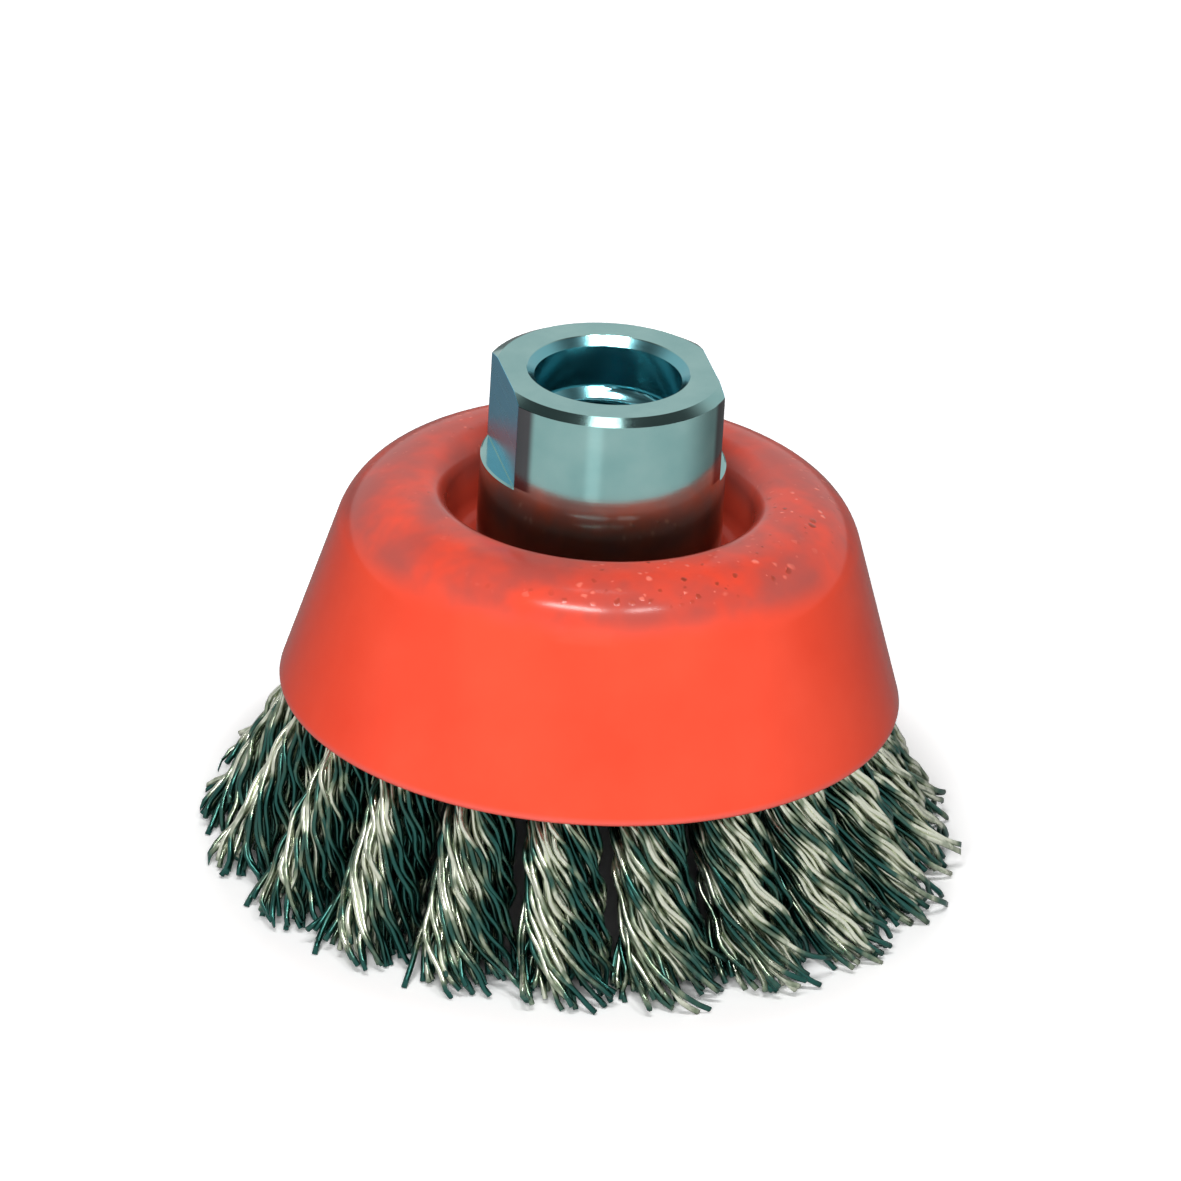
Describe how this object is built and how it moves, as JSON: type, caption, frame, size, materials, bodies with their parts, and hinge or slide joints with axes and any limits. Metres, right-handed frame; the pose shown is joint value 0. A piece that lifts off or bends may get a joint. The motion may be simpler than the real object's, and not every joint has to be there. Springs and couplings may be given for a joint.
{
  "type": "wire cup brush",
  "caption": "Twist-knot wire cup brush: pressed steel cup with a recessed centre, threaded nut with wrench flats and a ring of twisted wire knots.",
  "frame": {"origin": "on the axis of the brush, in the plane of the wire tips", "axes": "+Z along the thread's axis, out of the nut's mouth; +X and -X along the normals of the wrench flats"},
  "size_m": [0.0752, 0.0752, 0.0514],
  "materials": {
    "orange_paint": "glossy enamel",
    "zinc_plate": "bright zinc plating",
    "plain_steel": "dull stamped steel",
    "brush_wire": "crimped steel wire"
  },
  "bodies": {
    "root": {"cup_shell": "orange_paint", "arbor_nut": "zinc_plate", "knot_plate": "plain_steel", "clamp_washer": "plain_steel", "knot_01": "brush_wire", "knot_02": "brush_wire", "knot_03": "brush_wire", "knot_04": "brush_wire", "knot_05": "brush_wire", "knot_06": "brush_wire", "knot_07": "brush_wire", "knot_08": "brush_wire", "knot_09": "brush_wire", "knot_10": "brush_wire", "knot_11": "brush_wire", "knot_12": "brush_wire", "knot_13": "brush_wire", "knot_14": "brush_wire", "knot_15": "brush_wire", "knot_16": "brush_wire", "knot_17": "brush_wire", "knot_18": "brush_wire", "knot_19": "brush_wire", "knot_20": "brush_wire"}
  },
  "joints": []
}
